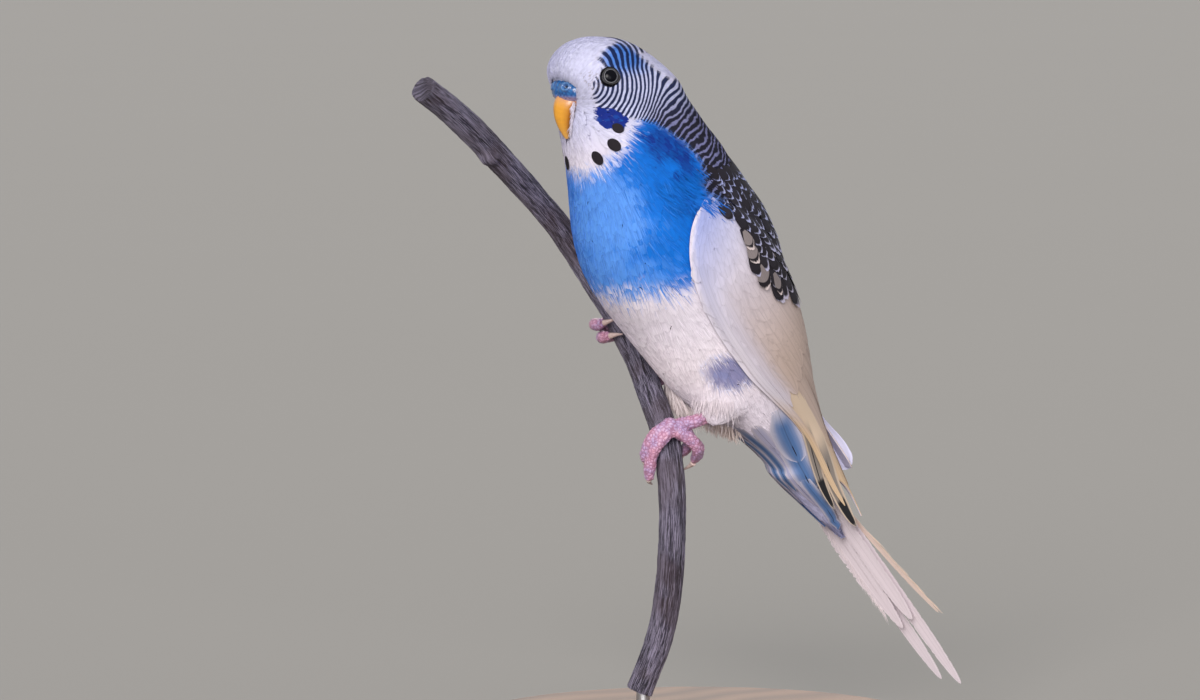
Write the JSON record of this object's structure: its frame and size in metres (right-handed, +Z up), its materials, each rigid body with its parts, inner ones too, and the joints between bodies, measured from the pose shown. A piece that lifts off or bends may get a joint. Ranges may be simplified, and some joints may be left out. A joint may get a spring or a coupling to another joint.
{
  "type": "budgerigar",
  "caption": "Life-size blue and white budgerigar that clings to a cut length of twig, head turned, held over a round wooden base by a short rod.",
  "frame": {"origin": "middle of the underside of the round base", "axes": "+Z up, square to the underside; the bird's body lies along X with its bill towards -X and its tail towards +X, and its left side is -Y"},
  "size_m": [0.1415, 0.11, 0.1707],
  "materials": {
    "horn": "satin, orange-yellow, paler along the culmen",
    "cere": "satin, finely bumpy blue skin",
    "claw": "satin grey horn",
    "eye": "glossy black",
    "leg_skin": "satin, small scales",
    "head_plumage": "soft feathers, white face, dark bars behind",
    "breast_plumage": "soft feathers, azure blue",
    "belly_plumage": "soft white feathers with a lilac cast",
    "wing_plumage": "smooth vanes, white with dark scallops at the shoulder",
    "tail_plumage": "smooth vanes, pinkish white",
    "bark": "rough dark bark",
    "stand_wood": "satin dark wood",
    "stand_metal": "brushed"
  },
  "bodies": {
    "root": {"bill_lower": "horn", "bill_upper": "horn", "cere": "cere", "claw_left_1": "claw", "claw_left_2": "claw", "claw_left_3": "claw", "claw_left_4": "claw", "claw_right_1": "claw", "claw_right_2": "claw", "claw_right_3": "claw", "claw_right_4": "claw", "eye_left": "eye", "eye_right": "eye", "foot_left": "leg_skin", "foot_right": "leg_skin", "head": "head_plumage", "neck": "head_plumage", "rump": "belly_plumage", "shank_left": "leg_skin", "shank_right": "leg_skin", "stand_base": "stand_wood", "stand_rod": "stand_metal", "stem": "bark", "tail_inner_left": "tail_plumage", "tail_inner_right": "tail_plumage", "tail_middle_left": "tail_plumage", "tail_middle_right": "tail_plumage", "tail_outer_left": "tail_plumage", "tail_outer_right": "tail_plumage", "thigh_left": "belly_plumage", "thigh_right": "belly_plumage", "trunk": "breast_plumage", "undertail": "belly_plumage", "wing_left": "wing_plumage", "wing_right": "wing_plumage"}
  },
  "joints": []
}
